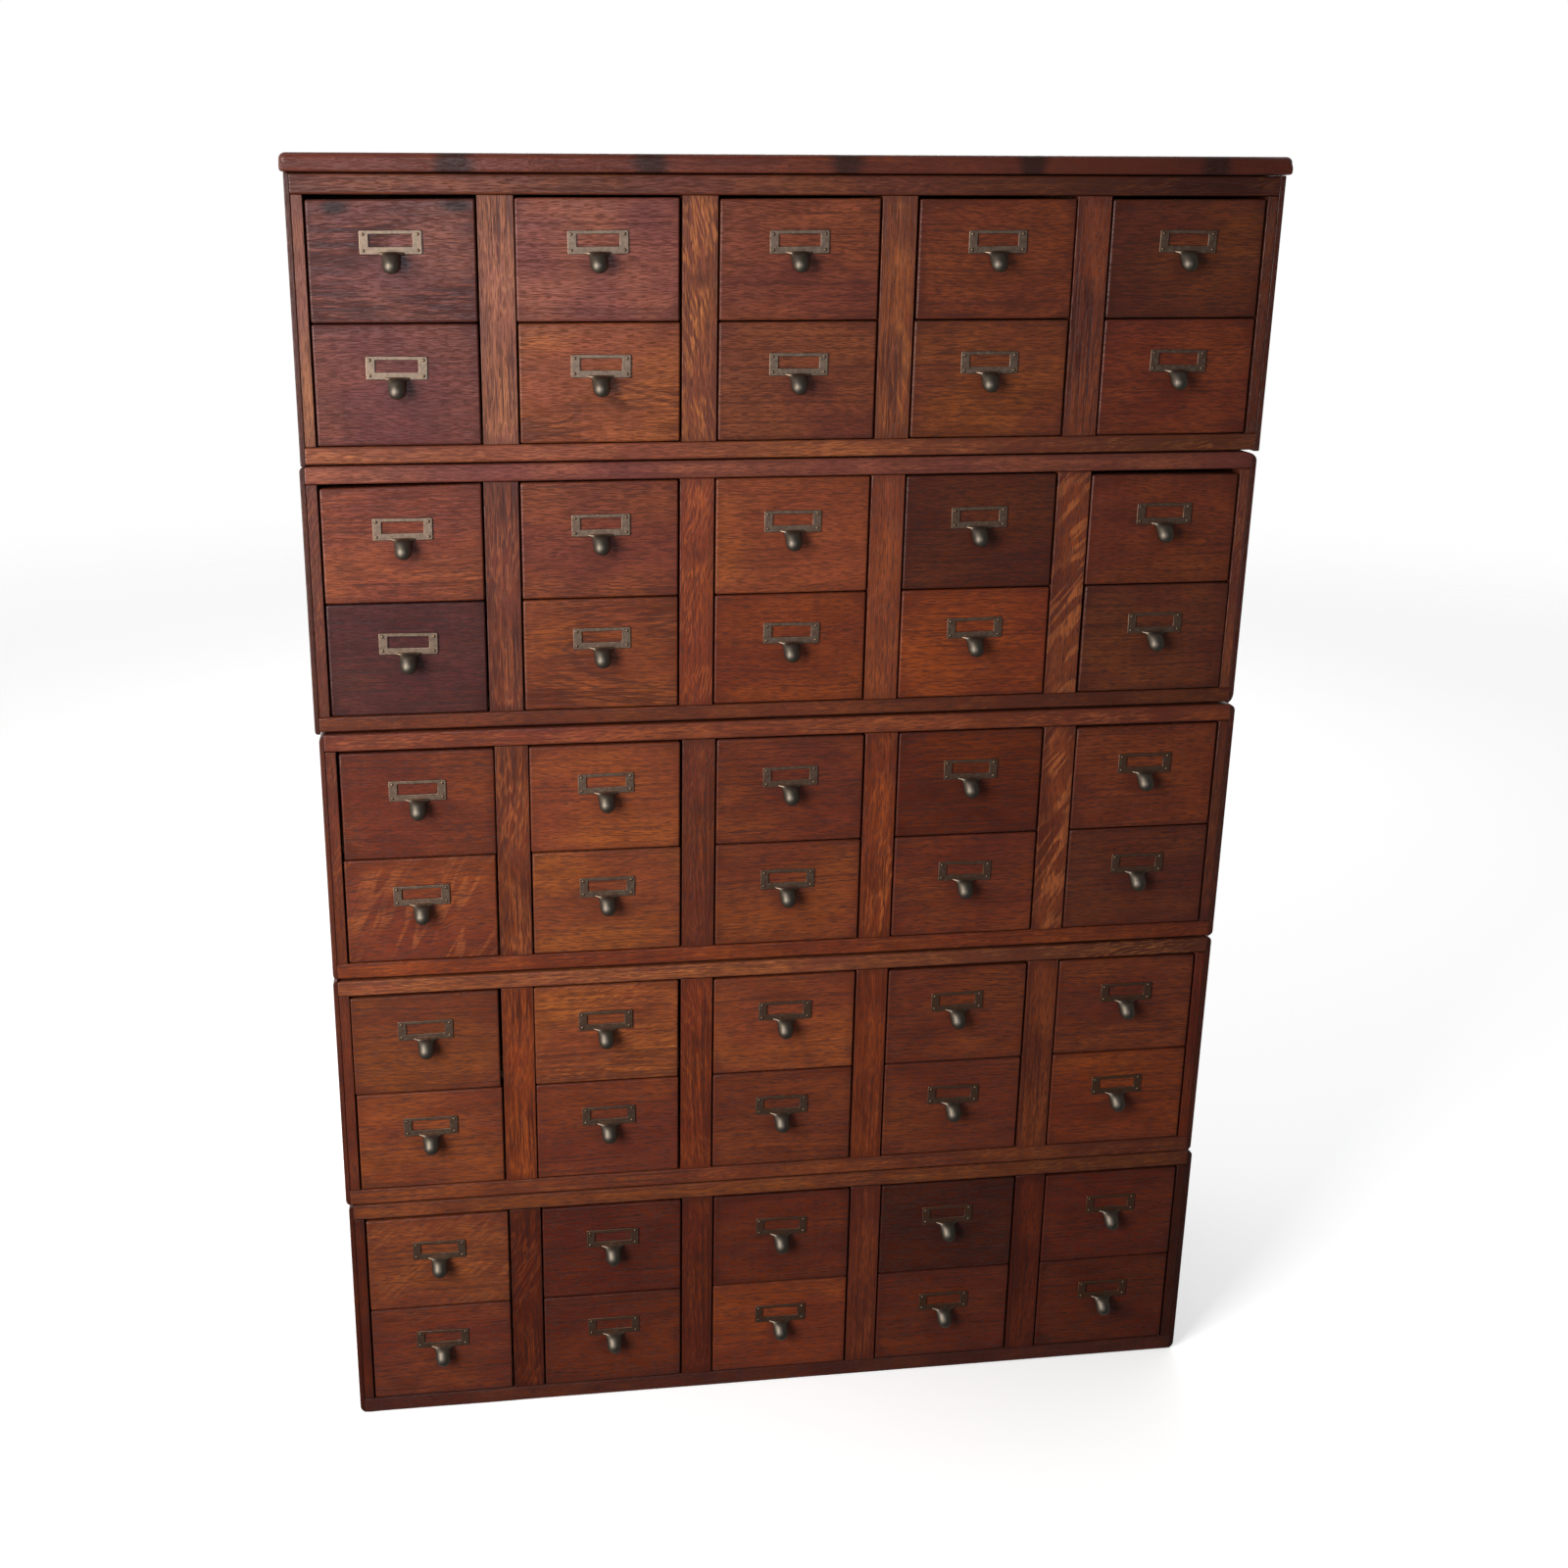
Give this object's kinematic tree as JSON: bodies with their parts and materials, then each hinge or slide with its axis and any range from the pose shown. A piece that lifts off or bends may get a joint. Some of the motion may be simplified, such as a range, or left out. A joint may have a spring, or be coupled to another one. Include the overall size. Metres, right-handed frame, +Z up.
{
  "type": "card drawer cabinet",
  "caption": "Stacked sectional oak cabinet of small card-size drawers used as an apothecary cabinet; brass card-frame pulls, every drawer slides out on its own.",
  "frame": {"origin": "Middle of the footprint on the floor, between the tips of the drawer pulls and the back of the cases.", "axes": "+Z up, drawer fronts face -Y and the drawers slide out towards -Y, +X to the right seen from the front."},
  "size_m": [0.98, 0.4416, 1.372],
  "materials": {
    "oak_case": "fumed oak, old satin varnish",
    "oak_drawer": "fumed oak, old satin varnish",
    "oak_inside": "unfinished pale wood, darkened by age",
    "brass": "aged brass with dull brown patina",
    "steel": "old dull screws and pins"
  },
  "bodies": {
    "carcass": {"top_board": "oak_case", "case_s1": "oak_case", "case_s2": "oak_case", "case_s3": "oak_case", "case_s4": "oak_case", "case_s5": "oak_case"},
    "drawer_s1_upper_c1": {"drawer_s1_upper_c1": "oak_drawer"},
    "drawer_s1_upper_c2": {"drawer_s1_upper_c2": "oak_drawer"},
    "drawer_s1_upper_c3": {"drawer_s1_upper_c3": "oak_drawer"},
    "drawer_s1_upper_c4": {"drawer_s1_upper_c4": "oak_drawer"},
    "drawer_s1_upper_c5": {"drawer_s1_upper_c5": "oak_drawer"},
    "drawer_s1_lower_c1": {"drawer_s1_lower_c1": "oak_drawer"},
    "drawer_s1_lower_c2": {"drawer_s1_lower_c2": "oak_drawer"},
    "drawer_s1_lower_c3": {"drawer_s1_lower_c3": "oak_drawer"},
    "drawer_s1_lower_c4": {"drawer_s1_lower_c4": "oak_drawer"},
    "drawer_s1_lower_c5": {"drawer_s1_lower_c5": "oak_drawer"},
    "drawer_s2_upper_c1": {"drawer_s2_upper_c1": "oak_drawer"},
    "drawer_s2_upper_c2": {"drawer_s2_upper_c2": "oak_drawer"},
    "drawer_s2_upper_c3": {"drawer_s2_upper_c3": "oak_drawer"},
    "drawer_s2_upper_c4": {"drawer_s2_upper_c4": "oak_drawer"},
    "drawer_s2_upper_c5": {"drawer_s2_upper_c5": "oak_drawer"},
    "drawer_s2_lower_c1": {"drawer_s2_lower_c1": "oak_drawer"},
    "drawer_s2_lower_c2": {"drawer_s2_lower_c2": "oak_drawer"},
    "drawer_s2_lower_c3": {"drawer_s2_lower_c3": "oak_drawer"},
    "drawer_s2_lower_c4": {"drawer_s2_lower_c4": "oak_drawer"},
    "drawer_s2_lower_c5": {"drawer_s2_lower_c5": "oak_drawer"},
    "drawer_s3_upper_c1": {"drawer_s3_upper_c1": "oak_drawer"},
    "drawer_s3_upper_c2": {"drawer_s3_upper_c2": "oak_drawer"},
    "drawer_s3_upper_c3": {"drawer_s3_upper_c3": "oak_drawer"},
    "drawer_s3_upper_c4": {"drawer_s3_upper_c4": "oak_drawer"},
    "drawer_s3_upper_c5": {"drawer_s3_upper_c5": "oak_drawer"},
    "drawer_s3_lower_c1": {"drawer_s3_lower_c1": "oak_drawer"},
    "drawer_s3_lower_c2": {"drawer_s3_lower_c2": "oak_drawer"},
    "drawer_s3_lower_c3": {"drawer_s3_lower_c3": "oak_drawer"},
    "drawer_s3_lower_c4": {"drawer_s3_lower_c4": "oak_drawer"},
    "drawer_s3_lower_c5": {"drawer_s3_lower_c5": "oak_drawer"},
    "drawer_s4_upper_c1": {"drawer_s4_upper_c1": "oak_drawer"},
    "drawer_s4_upper_c2": {"drawer_s4_upper_c2": "oak_drawer"},
    "drawer_s4_upper_c3": {"drawer_s4_upper_c3": "oak_drawer"},
    "drawer_s4_upper_c4": {"drawer_s4_upper_c4": "oak_drawer"},
    "drawer_s4_upper_c5": {"drawer_s4_upper_c5": "oak_drawer"},
    "drawer_s4_lower_c1": {"drawer_s4_lower_c1": "oak_drawer"},
    "drawer_s4_lower_c2": {"drawer_s4_lower_c2": "oak_drawer"},
    "drawer_s4_lower_c3": {"drawer_s4_lower_c3": "oak_drawer"},
    "drawer_s4_lower_c4": {"drawer_s4_lower_c4": "oak_drawer"},
    "drawer_s4_lower_c5": {"drawer_s4_lower_c5": "oak_drawer"},
    "drawer_s5_upper_c1": {"drawer_s5_upper_c1": "oak_drawer"},
    "drawer_s5_upper_c2": {"drawer_s5_upper_c2": "oak_drawer"},
    "drawer_s5_upper_c3": {"drawer_s5_upper_c3": "oak_drawer"},
    "drawer_s5_upper_c4": {"drawer_s5_upper_c4": "oak_drawer"},
    "drawer_s5_upper_c5": {"drawer_s5_upper_c5": "oak_drawer"},
    "drawer_s5_lower_c1": {"drawer_s5_lower_c1": "oak_drawer"},
    "drawer_s5_lower_c2": {"drawer_s5_lower_c2": "oak_drawer"},
    "drawer_s5_lower_c3": {"drawer_s5_lower_c3": "oak_drawer"},
    "drawer_s5_lower_c4": {"drawer_s5_lower_c4": "oak_drawer"},
    "drawer_s5_lower_c5": {"drawer_s5_lower_c5": "oak_drawer"}
  },
  "joints": [
    {"name": "slide_s1_upper_c1", "type": "slide", "parent": "carcass", "child": "drawer_s1_upper_c1", "axis": [0, -1, 0], "range_m": [0, 0.33]},
    {"name": "slide_s1_upper_c2", "type": "slide", "parent": "carcass", "child": "drawer_s1_upper_c2", "axis": [0, -1, 0], "range_m": [0, 0.33]},
    {"name": "slide_s1_upper_c3", "type": "slide", "parent": "carcass", "child": "drawer_s1_upper_c3", "axis": [0, -1, 0], "range_m": [0, 0.33]},
    {"name": "slide_s1_upper_c4", "type": "slide", "parent": "carcass", "child": "drawer_s1_upper_c4", "axis": [0, -1, 0], "range_m": [0, 0.33]},
    {"name": "slide_s1_upper_c5", "type": "slide", "parent": "carcass", "child": "drawer_s1_upper_c5", "axis": [0, -1, 0], "range_m": [0, 0.33]},
    {"name": "slide_s1_lower_c1", "type": "slide", "parent": "carcass", "child": "drawer_s1_lower_c1", "axis": [0, -1, 0], "range_m": [0, 0.33]},
    {"name": "slide_s1_lower_c2", "type": "slide", "parent": "carcass", "child": "drawer_s1_lower_c2", "axis": [0, -1, 0], "range_m": [0, 0.33]},
    {"name": "slide_s1_lower_c3", "type": "slide", "parent": "carcass", "child": "drawer_s1_lower_c3", "axis": [0, -1, 0], "range_m": [0, 0.33]},
    {"name": "slide_s1_lower_c4", "type": "slide", "parent": "carcass", "child": "drawer_s1_lower_c4", "axis": [0, -1, 0], "range_m": [0, 0.33]},
    {"name": "slide_s1_lower_c5", "type": "slide", "parent": "carcass", "child": "drawer_s1_lower_c5", "axis": [0, -1, 0], "range_m": [0, 0.33]},
    {"name": "slide_s2_upper_c1", "type": "slide", "parent": "carcass", "child": "drawer_s2_upper_c1", "axis": [0, -1, 0], "range_m": [0, 0.33]},
    {"name": "slide_s2_upper_c2", "type": "slide", "parent": "carcass", "child": "drawer_s2_upper_c2", "axis": [0, -1, 0], "range_m": [0, 0.33]},
    {"name": "slide_s2_upper_c3", "type": "slide", "parent": "carcass", "child": "drawer_s2_upper_c3", "axis": [0, -1, 0], "range_m": [0, 0.33]},
    {"name": "slide_s2_upper_c4", "type": "slide", "parent": "carcass", "child": "drawer_s2_upper_c4", "axis": [0, -1, 0], "range_m": [0, 0.33]},
    {"name": "slide_s2_upper_c5", "type": "slide", "parent": "carcass", "child": "drawer_s2_upper_c5", "axis": [0, -1, 0], "range_m": [0, 0.33]},
    {"name": "slide_s2_lower_c1", "type": "slide", "parent": "carcass", "child": "drawer_s2_lower_c1", "axis": [0, -1, 0], "range_m": [0, 0.33]},
    {"name": "slide_s2_lower_c2", "type": "slide", "parent": "carcass", "child": "drawer_s2_lower_c2", "axis": [0, -1, 0], "range_m": [0, 0.33]},
    {"name": "slide_s2_lower_c3", "type": "slide", "parent": "carcass", "child": "drawer_s2_lower_c3", "axis": [0, -1, 0], "range_m": [0, 0.33]},
    {"name": "slide_s2_lower_c4", "type": "slide", "parent": "carcass", "child": "drawer_s2_lower_c4", "axis": [0, -1, 0], "range_m": [0, 0.33]},
    {"name": "slide_s2_lower_c5", "type": "slide", "parent": "carcass", "child": "drawer_s2_lower_c5", "axis": [0, -1, 0], "range_m": [0, 0.33]},
    {"name": "slide_s3_upper_c1", "type": "slide", "parent": "carcass", "child": "drawer_s3_upper_c1", "axis": [0, -1, 0], "range_m": [0, 0.33]},
    {"name": "slide_s3_upper_c2", "type": "slide", "parent": "carcass", "child": "drawer_s3_upper_c2", "axis": [0, -1, 0], "range_m": [0, 0.33]},
    {"name": "slide_s3_upper_c3", "type": "slide", "parent": "carcass", "child": "drawer_s3_upper_c3", "axis": [0, -1, 0], "range_m": [0, 0.33]},
    {"name": "slide_s3_upper_c4", "type": "slide", "parent": "carcass", "child": "drawer_s3_upper_c4", "axis": [0, -1, 0], "range_m": [0, 0.33]},
    {"name": "slide_s3_upper_c5", "type": "slide", "parent": "carcass", "child": "drawer_s3_upper_c5", "axis": [0, -1, 0], "range_m": [0, 0.33]},
    {"name": "slide_s3_lower_c1", "type": "slide", "parent": "carcass", "child": "drawer_s3_lower_c1", "axis": [0, -1, 0], "range_m": [0, 0.33]},
    {"name": "slide_s3_lower_c2", "type": "slide", "parent": "carcass", "child": "drawer_s3_lower_c2", "axis": [0, -1, 0], "range_m": [0, 0.33]},
    {"name": "slide_s3_lower_c3", "type": "slide", "parent": "carcass", "child": "drawer_s3_lower_c3", "axis": [0, -1, 0], "range_m": [0, 0.33]},
    {"name": "slide_s3_lower_c4", "type": "slide", "parent": "carcass", "child": "drawer_s3_lower_c4", "axis": [0, -1, 0], "range_m": [0, 0.33]},
    {"name": "slide_s3_lower_c5", "type": "slide", "parent": "carcass", "child": "drawer_s3_lower_c5", "axis": [0, -1, 0], "range_m": [0, 0.33]},
    {"name": "slide_s4_upper_c1", "type": "slide", "parent": "carcass", "child": "drawer_s4_upper_c1", "axis": [0, -1, 0], "range_m": [0, 0.33]},
    {"name": "slide_s4_upper_c2", "type": "slide", "parent": "carcass", "child": "drawer_s4_upper_c2", "axis": [0, -1, 0], "range_m": [0, 0.33]},
    {"name": "slide_s4_upper_c3", "type": "slide", "parent": "carcass", "child": "drawer_s4_upper_c3", "axis": [0, -1, 0], "range_m": [0, 0.33]},
    {"name": "slide_s4_upper_c4", "type": "slide", "parent": "carcass", "child": "drawer_s4_upper_c4", "axis": [0, -1, 0], "range_m": [0, 0.33]},
    {"name": "slide_s4_upper_c5", "type": "slide", "parent": "carcass", "child": "drawer_s4_upper_c5", "axis": [0, -1, 0], "range_m": [0, 0.33]},
    {"name": "slide_s4_lower_c1", "type": "slide", "parent": "carcass", "child": "drawer_s4_lower_c1", "axis": [0, -1, 0], "range_m": [0, 0.33]},
    {"name": "slide_s4_lower_c2", "type": "slide", "parent": "carcass", "child": "drawer_s4_lower_c2", "axis": [0, -1, 0], "range_m": [0, 0.33]},
    {"name": "slide_s4_lower_c3", "type": "slide", "parent": "carcass", "child": "drawer_s4_lower_c3", "axis": [0, -1, 0], "range_m": [0, 0.33]},
    {"name": "slide_s4_lower_c4", "type": "slide", "parent": "carcass", "child": "drawer_s4_lower_c4", "axis": [0, -1, 0], "range_m": [0, 0.33]},
    {"name": "slide_s4_lower_c5", "type": "slide", "parent": "carcass", "child": "drawer_s4_lower_c5", "axis": [0, -1, 0], "range_m": [0, 0.33]},
    {"name": "slide_s5_upper_c1", "type": "slide", "parent": "carcass", "child": "drawer_s5_upper_c1", "axis": [0, -1, 0], "range_m": [0, 0.33]},
    {"name": "slide_s5_upper_c2", "type": "slide", "parent": "carcass", "child": "drawer_s5_upper_c2", "axis": [0, -1, 0], "range_m": [0, 0.33]},
    {"name": "slide_s5_upper_c3", "type": "slide", "parent": "carcass", "child": "drawer_s5_upper_c3", "axis": [0, -1, 0], "range_m": [0, 0.33]},
    {"name": "slide_s5_upper_c4", "type": "slide", "parent": "carcass", "child": "drawer_s5_upper_c4", "axis": [0, -1, 0], "range_m": [0, 0.33]},
    {"name": "slide_s5_upper_c5", "type": "slide", "parent": "carcass", "child": "drawer_s5_upper_c5", "axis": [0, -1, 0], "range_m": [0, 0.33]},
    {"name": "slide_s5_lower_c1", "type": "slide", "parent": "carcass", "child": "drawer_s5_lower_c1", "axis": [0, -1, 0], "range_m": [0, 0.33]},
    {"name": "slide_s5_lower_c2", "type": "slide", "parent": "carcass", "child": "drawer_s5_lower_c2", "axis": [0, -1, 0], "range_m": [0, 0.33]},
    {"name": "slide_s5_lower_c3", "type": "slide", "parent": "carcass", "child": "drawer_s5_lower_c3", "axis": [0, -1, 0], "range_m": [0, 0.33]},
    {"name": "slide_s5_lower_c4", "type": "slide", "parent": "carcass", "child": "drawer_s5_lower_c4", "axis": [0, -1, 0], "range_m": [0, 0.33]},
    {"name": "slide_s5_lower_c5", "type": "slide", "parent": "carcass", "child": "drawer_s5_lower_c5", "axis": [0, -1, 0], "range_m": [0, 0.33]}
  ]
}
